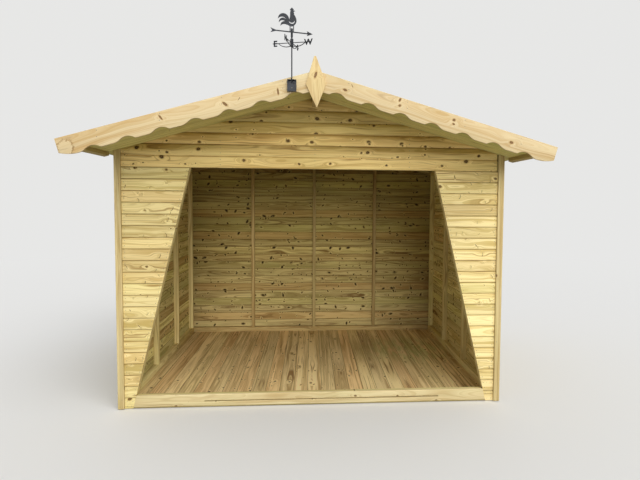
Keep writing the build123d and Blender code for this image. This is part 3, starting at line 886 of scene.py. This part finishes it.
def spots_on(piece, outward, guesses):
    """The spots at which nails driven from outside meet the flat face of a piece's boards."""
    bm = bmesh.new()
    bm.from_mesh(piece.data)
    tree = BVHTree.FromBMesh(bm)
    bm.free()
    found = []
    for guess in guesses:
        start = guess + outward * NAIL_SEARCH
        place, normal, _, distance = tree.ray_cast(start, -outward, NAIL_SEARCH * 1.2)
        if place is not None and normal.dot(outward) > 0.97 and abs(distance - NAIL_SEARCH) < 2 * TOLERANCE:
            found.append((place, outward))
    return found


# Making the shelter

def walls():
    """Shiplap on every wall. The gable boards end a little short of the right corner strip."""
    section = shiplap_section()
    gable_end = trim_box[1].x - CORNER_STRIP - GABLE_END_GAP
    pieces = {}
    for node, along, out, seed, faces, stop in (
            ("front_gable_cladding", X, -Y, 1, ("gable_face", "cladding_back"), gable_end),
            ("front_panel_left", X, -Y, 2, ("cladding_face", "cladding_back"), None),
            # The right front panel has the paler copy of the cladding face: painted light.
            ("front_panel_right", X, -Y, 3, ("cladding_painted_light_face", "cladding_back"), None),
            ("back_cladding", X, Y, 4, ("cladding_face", "cladding_back"), None),
            ("left_wall_cladding", Y, -X, 5, ("cladding_face", "side_cladding_back"), None),
            ("right_wall_cladding", Y, X, 6, ("cladding_face", "side_cladding_back"), None)):
        pieces[node] = lay_boards(node, section, wall_cover, along, Z, out, 0.0, out, faces,
                                  seed, stop)
    return pieces


def deck():
    """Floor boards that run from the front to the back."""
    low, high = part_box("floor_deck")
    section = tongued_section(DECK_COVER, high.z - low.z, DECK_EDGE)
    return lay_boards("floor_deck", section, DECK_COVER, Y, X, Z, DECK_JOINT, Z,
                      ("deck_face", "sawn_framing"), 7)


def roof_boards():
    """Boards from the ridge down to the eaves, grooved on the side that is seen from below."""
    section = tongued_section(ROOF_COVER, roof_thickness, ROOF_EDGE)
    for name, side, seed in (("left", -1, 8), ("right", 1, 9)):
        lay_boards(f"roof_boarding_{name}", section, ROOF_COVER, slope_down(side), Y, -out_of_roof(side),
                   roof_box[0].y, Z, ("roof_underside", "sawn_framing"), seed)


def timbers():
    """All the timbers that aren't boards. The length of its name gives most of them a random start."""
    for nodes, along_of, face, slot, factor in (
            ("floor_bearers back_rails back_studs ridge_beam eaves_battens", longest, "sawn_framing",
             "framing", 3),
            ("front_sill_rail front_head_rail front_jamb_studs front_studs left_wall_rails left_wall_studs "
             "right_wall_rails right_wall_studs", longest, "sawn_side_framing", "framing", 3),
            ("front_gable_rafters back_gable_rafters middle_rafters canopy_rafters", down_own_slope,
             "sawn_framing", "framing", 5),
            ("front_corner_trims back_corner_trims side_corner_trims", longest, "trim_face", "trim", 7)):
        for node in nodes.split():
            dress_timber(node, along_of, face, len(node) * factor)
    for node, along_of, face, seed in (
            ("threshold_board", longest, "threshold_face", 105),
            ("front_finial", straight(Z), "finial_face", 84),
            ("back_finial", straight(Z), "fascia_face", 77),
            ("front_fascia_left", down_own_slope, "left_fascia_face", 90),
            ("front_fascia_right", down_own_slope, "right_fascia_face", 91),
            ("back_fascia_left", down_own_slope, "fascia_face", 92),
            ("back_fascia_right", down_own_slope, "fascia_face", 93)):
        dress_timber(node, along_of, face, seed)


def row_heights(low, high):
    """Two nail lines in each wall board between two heights."""
    first, last = math.ceil(low / wall_cover), math.floor(high / wall_cover)
    return [(row + share) * wall_cover for row in range(first - 1, last + 1)
            for share in NAILS_IN_WALL_BOARD]


def wall_nails(pieces):
    """Nails through the wall boards into every stud behind them."""
    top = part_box("back_cladding")[1]
    back = [Vector((x, top.y, z)) for x in places_along("back_studs", X) for z in row_heights(0, top.z)]
    spots = spots_on(pieces["back_cladding"], Y, back)
    for name, out in (("left", -X), ("right", X)):
        low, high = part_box(f"{name}_wall_cladding")
        x = high.x if out.x > 0 else low.x
        studs = places_along(f"{name}_wall_studs", Y)
        guesses = [Vector((x, y, z)) for y in studs for z in row_heights(0, high.z)]
        spots += spots_on(pieces[f"{name}_wall_cladding"], out, guesses)
    heads("wall_nails", spots, NAIL)


def jamb_at(z):
    """How far the leaning edge of a front panel is from the middle at some height."""
    verts = [vert.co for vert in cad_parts["front_panel_right"].data.vertices]
    top = min(verts, key=lambda co: (co.x, -co.z))
    foot = min((co for co in verts if co.z < panel_box[0].z + TOLERANCE), key=lambda co: co.x)
    return foot.x + (top.x - foot.x) * (z - foot.z) / (top.z - foot.z)


def front_nails(pieces):
    """Nails of the front: beside the corner strips, along the leaning jambs and into the gable studs."""
    face = gable_box[0].y
    inner = trim_box[1].x - CORNER_STRIP - NAIL_INSET
    spots = []
    for name, side in (("left", -1), ("right", 1)):
        guesses = [Vector((side * x, face, z)) for z in row_heights(0, panel_box[1].z)
                   for x in (inner, jamb_at(z) + NAIL_INSET)]
        spots += spots_on(pieces[f"front_panel_{name}"], -Y, guesses)
    studs = [x for x in places_along("front_studs", X) if abs(x) < inner]
    gable = [Vector((x, face, z)) for x in [-inner, *studs, inner - GABLE_END_GAP]
             for z in row_heights(gable_box[0].z, gable_box[1].z)]
    spots += spots_on(pieces["front_gable_cladding"], -Y, gable)
    heads("front_nails", spots, NAIL)


def deck_nails(piece):
    """Two nails in each floor board over each bearer."""
    low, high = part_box("floor_deck")
    first = math.ceil((low.x - DECK_JOINT) / DECK_COVER)
    boards = [DECK_JOINT + (first + i) * DECK_COVER for i in range(int((high.x - low.x) / DECK_COVER) + 1)]
    guesses = [Vector((x + share * DECK_COVER, y, high.z)) for y in places_along("floor_bearers", Y)
               for x in boards for share in NAILS_IN_DECK_BOARD]
    heads("deck_nails", spots_on(piece, Z, guesses), NAIL)


def trim_nails():
    """Nails down the corner strips and along the fascias."""
    spots = []
    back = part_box("back_corner_trims")[1].y
    strip = trim_box[1].x - CORNER_STRIP / 2
    for side in (-1, 1):
        for step in range(int((panel_box[1].z - TRIM_NAIL_TOP_GAP) / TRIM_NAIL_SPACING) + 1):
            z = TRIM_NAIL_FOOT + step * TRIM_NAIL_SPACING
            spots += [(Vector((side * strip, trim_box[0].y, z)), -Y), (Vector((side * strip, back, z)), Y)]
    for y, out in ((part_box("front_fascia_right")[0].y, -Y), (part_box("back_fascia_right")[1].y, Y)):
        for side in (-1, 1):
            down = slope_down(side)
            start = Vector((0, y, ridge_foot)) + down * FASCIA_NAIL_START
            spots += [(start + down * FASCIA_NAIL_SPACING * step + Z * rise, out)
                      for step in range(FASCIA_NAIL_PAIRS) for rise in FASCIA_NAIL_RISES]
    heads("trim_nails", spots, NAIL)


def sheet_directions(line):
    """The way out of a sheet at each point of its line: off the roof, or sideways where it turns down."""
    outward = Vector((math.copysign(1, line[-1][0] - line[0][0]), 0, 0))
    found = []
    for before, after in zip([line[0], *line], [*line[1:], line[-1]]):
        run = Vector((after[0] - before[0], 0, after[1] - before[1])).normalized()
        up = Vector((-run.z, 0, run.x))
        found.append(outward if abs(up.z) < TURNED_DOWN else up * math.copysign(1, up.z))
    return found


def sheet_rows(bm, line, low, high, phase):
    """Upper and lower rows of points for a sheet of felt. Faint waves lift its upper face."""
    rows = []
    for step in range(FELT_STEPS + 1):
        y = low.y + (high.y - low.y) * step / FELT_STEPS
        upper, lower = [], []
        for (x, z), up in zip(line, sheet_directions(line)):
            ripple = noise.noise(Vector((x * 3.0 + phase, y * 3.0, phase)))
            loose = 0 < step < FELT_STEPS and up.z > TURNED_DOWN
            wave = FELT_WAVE * max(ripple, 0) if loose else 0
            lower.append(bm.verts.new((x, y, z)))
            upper.append(bm.verts.new(Vector((x, y, z)) + up * (FELT_SHEET + wave)))
        rows.append((upper, lower))
    return rows


def felt_sheet(bm, line, low, high, phase):
    """A closed sheet of felt that follows a line of (x, z) points across the roof."""
    rows = sheet_rows(bm, line, low, high, phase)
    last = len(line) - 1
    for (upper, lower), (next_upper, next_lower) in zip(rows, rows[1:]):
        for i in range(last):
            bm.faces.new((upper[i], upper[i + 1], next_upper[i + 1], next_upper[i]))
            bm.faces.new((lower[i], next_lower[i], next_lower[i + 1], lower[i + 1]))
        for i in (0, last):
            bm.faces.new((upper[i], next_upper[i], next_lower[i], lower[i]))
    for upper, lower in (rows[0], rows[-1]):
        for i in range(last):
            bm.faces.new((upper[i], upper[i + 1], lower[i + 1], lower[i]))
    bmesh.ops.recalc_face_normals(bm, faces=bm.faces)


def on_roof(side, run, lift=0.0):
    """A point over the roof boards as (x, z), at some run down the slope from the ridge."""
    place = Vector((side * roof_box[0].x, 0, roof_top)) + slope_down(side) * run
    return place.x, place.z + lift


def lower_strip(side, low, high):
    """From the lap down to the eaves, where the felt turns down over the edge."""
    line = [on_roof(side, felt_lap_top + FELT_LOWER_STRIP * i / 16) for i in range(17)]
    eaves = line[-1][1]
    return line + [(side * (high.x - FELT), eaves - (eaves - low.z) * share) for share in (0.08, 0.5, 1.0)]


def upper_strip(side):
    """From the ridge down over the lap, onto which the felt climbs by a short ramp."""
    end = felt_lap_top + FELT_LAP
    runs = sorted([end * i / 20 for i in range(20)] + [felt_lap_top - FELT_RAMP, felt_lap_top, end])
    climbs = [min(max((run - felt_lap_top) / FELT_RAMP + 1, 0), 1) for run in runs]
    return [on_roof(side, run, (FELT + FELT_WAVE) * climb) for run, climb in zip(runs, climbs)]


def ridge_drop(x):
    """How far the strip over the ridge has fallen at some distance from its rounded fold."""
    return (math.sqrt(x * x + RIDGE_FOLD * RIDGE_FOLD) - RIDGE_FOLD) * roof_drop / roof_run


def clout_rows(low, high):
    count = int((high.y - low.y) / CLOUT_SPACING)
    return [low.y + (step + 0.5) * CLOUT_SPACING for step in range(count)]


def roof_felt():
    """Two strips of felt a side, the upper one lapped over the lower, and their clouts."""
    low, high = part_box("roof_felt_right")
    clouts = []
    for name, side in (("left", -1), ("right", 1)):
        bm = bmesh.new()
        felt_sheet(bm, lower_strip(side, low, high), low, high, 1.7 * side)
        felt_sheet(bm, upper_strip(side), low, high, 5.1 * side)
        finish_piece(bm, f"roof_felt_{name}_sheets", ("mineral_felt",), f"roof_felt_{name}")
        x, z = on_roof(side, felt_lap_top + FELT_LAP - CLOUT_INSET, 2 * FELT)
        eaves = on_roof(side, felt_lap_top + FELT_LOWER_STRIP)[1] - EAVES_CLOUT_DROP
        for y in clout_rows(low, high):
            clouts += [(Vector((x, y, z)), out_of_roof(side)),
                       (Vector((side * (high.x - 0.0002), y, eaves)), X * side)]
    return clouts


def ridge_felt():
    """The strip folded over the ridge, and its clouts."""
    low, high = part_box("ridge_cap")
    places = [high.x * i / RIDGE_STEPS for i in range(-RIDGE_STEPS, RIDGE_STEPS + 1)]
    bm = bmesh.new()
    felt_sheet(bm, [(x, roof_top + 2 * FELT - ridge_drop(x)) for x in places], low, high, 9.3)
    finish_piece(bm, "ridge_cap_sheet", ("mineral_felt",), "ridge_cap")
    clouts = []
    for side in (-1, 1):
        x = side * (high.x - CLOUT_INSET)
        z = roof_top + 3 * FELT - ridge_drop(x)
        clouts += [(Vector((x, y, z)), out_of_roof(side)) for y in clout_rows(low, high)]
    return clouts


def letter_mesh(text):
    """A plain letter as a plate that lies flat about its own middle."""
    curve = bpy.data.curves.new("letter_" + text, "FONT")
    curve.body = text
    curve.size = LETTER_HEIGHT
    curve.offset = LETTER_BOLD
    curve.extrude = LETTER_PLATE / 2
    thing = bpy.data.objects.new("letter_" + text, curve)
    mesh = bpy.data.meshes.new_from_object(thing)
    bpy.data.objects.remove(thing)
    low, high = span(mesh.vertices, Y)
    factor = LETTER_HEIGHT / (high - low)
    middle = Vector((midway(mesh.vertices, X), (low + high) / 2, 0))
    for vert in mesh.vertices:
        flat = (vert.co - middle) * factor
        vert.co = (flat.x, flat.y, vert.co.z)
    return mesh


def compass_letters():
    """The plain letters of the four quarters, upright plates on the ends of the compass arms."""
    rod = (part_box("vane_rod")[0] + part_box("vane_rod")[1]) / 2
    hub = Vector((rod.x, rod.y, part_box("vane_compass_arms")[1].z - HUB_HALF))
    quarter = Matrix.Rotation(math.radians(COMPASS_TURN), 3, "Z")
    bm = bmesh.new()
    for text, reading, side in (("E", X, -1), ("W", X, 1), ("N", Y, -1), ("S", Y, 1)):
        right = quarter @ reading
        mesh = letter_mesh(text)
        for vert in mesh.vertices:
            flat = vert.co.copy()
            vert.co = hub + right * (side * LETTER_REACH + flat.x) + Z * flat.y + right.cross(Z) * flat.z
        bm.from_mesh(mesh)
    bmesh.ops.remove_doubles(bm, verts=bm.verts, dist=1e-6)
    bmesh.ops.recalc_face_normals(bm, faces=bm.faces)
    finish_piece(bm, "compass_letters", ("black_paint",))


def bracket_screw():
    """Pan-head screw with a round recess that holds the tray to the fascia."""
    radius, height = SCREW
    low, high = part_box("vane_bracket")
    place = Vector(((low.x + high.x) / 2, high.y - TRAY_PLATE, low.z + SCREW_RISE))
    rings = [(radius, -0.0005)] + [(radius * share, height * rise) for share, rise in SCREW_HEAD]
    bm = bmesh.new()
    add_head(bm, place, -Y, rings, 16)
    finish_piece(bm, "bracket_screw", ("nail_steel",))


def vane():
    """The bracket and the vane keep their CAD shapes and get black paint."""
    for node in ("vane_bracket", "vane_rod", "vane_compass_arms", "vane_sleeve", "vane_arrow",
                 "vane_cockerel"):
        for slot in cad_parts[node].material_slots:
            slot.material = bpy.data.materials["black_paint"]


boarded = walls()
floor_boards = deck()
roof_boards()
timbers()
wall_nails(boarded)
front_nails(boarded)
deck_nails(floor_boards)
trim_nails()
heads("felt_clouts", roof_felt() + ridge_felt(), CLOUT)
compass_letters()
bracket_screw()
vane()


# Stage, light and camera

def looked_at(nodes):
    """1 where the camera looks, also by a gloss or through glass, and 0 for light that falls on things."""
    seen, glossy, clear = nodes.node("LightPath", {}, {}, "Is Camera Ray", "Is Glossy Ray",
                                     "Is Transmission Ray")
    return nodes.node("Math", {"operation": "ADD", "use_clamp": True}, {0: seen + glossy, 1: clear})


def stage_floor():
    """A plain pale floor that fades into the background far from the shelter."""
    bm = bmesh.new()
    bmesh.ops.create_circle(bm, cap_ends=True, radius=FLOOR_RADIUS, segments=96)
    floor = mesh_object("stage_floor", bm)
    finish = Finish("stage_floor")
    seen = looked_at(finish)
    finish.done(finish.mix(FLOOR_BOUNCE, PALE_FLOOR, seen), 0.9)
    glow = finish.node("Emission", {}, {"Color": PALE_FLOOR, "Strength": 1.0})
    surface = Shade(finish, finish.shader.outputs[0])
    far = finish.place().length().rise(*FLOOR_FADE) * seen
    mixed = finish.node("MixShader", {}, {0: far, 1: surface, 2: glow})
    finish.feed(finish.tree.nodes["Material Output"].inputs["Surface"], mixed)
    floor.data.materials.append(finish.material)


def sky():
    """Even light from all round, with the pale background where the camera or a gloss looks."""
    world = bpy.data.worlds.new("soft_light")
    bpy.context.scene.world = world
    world.use_nodes = True
    world.node_tree.nodes.clear()
    nodes = Nodes(world.node_tree)
    light = nodes.node("Background", {}, {"Color": WHITE, "Strength": SKY_STRENGTH})
    behind = nodes.node("Background", {}, {"Color": PALE_FLOOR, "Strength": 1.0})
    mixed = nodes.node("MixShader", {}, {0: looked_at(nodes), 1: light, 2: behind})
    nodes.feed(world.node_tree.nodes.new("ShaderNodeOutputWorld").inputs["Surface"], mixed)


def soft_lamp(name, azimuth, elevation, strength, softness):
    """A soft lamp. Azimuth 0 shines from the front, and grows towards the right."""
    lamp = bpy.data.lights.new(name, "SUN")
    lamp.energy = strength
    lamp.angle = math.radians(softness)
    turn, rise = math.radians(azimuth), math.radians(elevation)
    towards = Vector((math.sin(turn) * math.cos(rise), -math.cos(turn) * math.cos(rise), math.sin(rise)))
    add_object(name, lamp).rotation_euler = towards.to_track_quat("Z", "Y").to_euler()


def camera():
    """The camera, level and facing the back before it is turned, tipped and rolled."""
    data = bpy.data.cameras.new("camera")
    data.sensor_width = SENSOR_MILLIMETRES
    data.lens = FOCAL_LENGTH * SENSOR_MILLIMETRES / IMAGE_WIDTH
    data.shift_x = (IMAGE_WIDTH / 2 - IMAGE_CENTRE_X) / IMAGE_WIDTH
    data.shift_y = (IMAGE_CENTRE_Y - IMAGE_HEIGHT / 2) / IMAGE_WIDTH
    pose = Matrix.Translation(CAMERA_PLACE)
    for angle, axis in ((CAMERA_YAW, "Z"), (CAMERA_PITCH, "X"), (CAMERA_ROLL, "Y"), (90, "X")):
        pose = pose @ Matrix.Rotation(math.radians(angle), 4, axis)
    thing = add_object("camera", data)
    thing.matrix_world = pose
    bpy.context.scene.camera = thing


stage_floor()
sky()
soft_lamp("key_light", azimuth=30, elevation=44, strength=1.60, softness=45)
soft_lamp("front_light", azimuth=5, elevation=9, strength=1.38, softness=25)
camera()
bpy.context.scene.view_settings.view_transform = "Standard"
